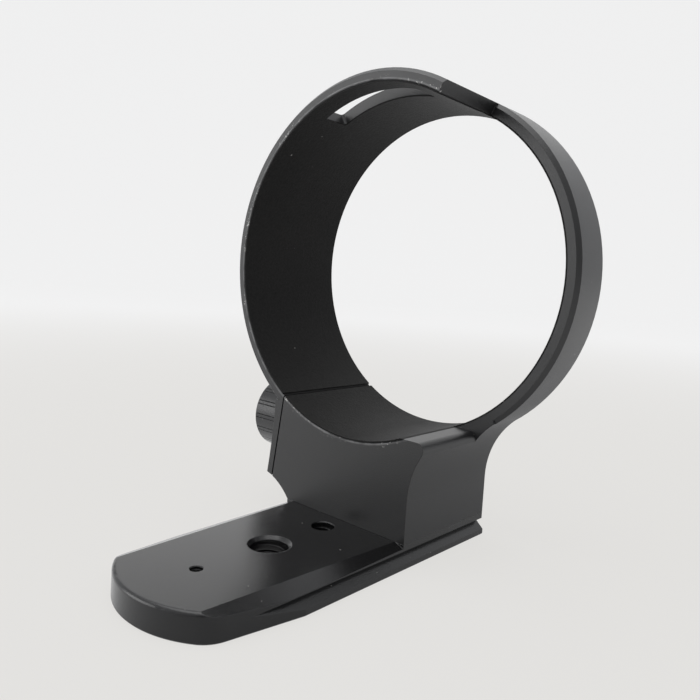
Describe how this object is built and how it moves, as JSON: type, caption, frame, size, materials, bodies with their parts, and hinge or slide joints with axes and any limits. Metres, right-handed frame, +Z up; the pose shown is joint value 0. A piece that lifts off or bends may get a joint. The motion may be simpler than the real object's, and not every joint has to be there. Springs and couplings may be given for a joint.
{
  "type": "lens tripod collar",
  "caption": "Split clamping ring with a lined bore, cut-away front, mounting block, dovetail foot with tapped holes and a knurled clamping knob.",
  "frame": {"origin": "on the lens axis, at the ring's front face plane", "axes": "+Y along the lens axis towards the ring's back, +Z up, away from the foot, +X to the cut-away side, away from the knob"},
  "size_m": [0.0866, 0.087, 0.1084],
  "materials": {
    "black_anodised": "satin black anodised",
    "lining": "matte flocked sheet",
    "knob_black": "satin black anodised, knurled",
    "plain_steel": "plain",
    "black_steel": "black oxide"
  },
  "bodies": {
    "collar": {"collar_body": "black_anodised", "bore_lining": "lining", "foot_plate": "black_anodised", "foot_screw_front": "black_steel", "foot_screw_rear": "black_steel"},
    "knob_carriage": {"knob_washer": "plain_steel"},
    "knob": {"clamp_knob": "knob_black", "clamp_screw": "plain_steel"}
  },
  "joints": [
    {"name": "clamp_slide", "type": "slide", "parent": "collar", "child": "knob_carriage", "axis": [-1, 0, 0], "range_m": [0, 0.0024]},
    {"name": "clamp_turn", "type": "hinge", "parent": "knob_carriage", "child": "knob", "pos_m": [-0.03, 0.016, -0.0429], "axis": [-1, 0, 0], "range_deg": [0, 1080]}
  ],
  "couplings": [
    {"joint": "clamp_slide", "follows": "clamp_turn", "m_per_rad": 0.00012732}
  ]
}
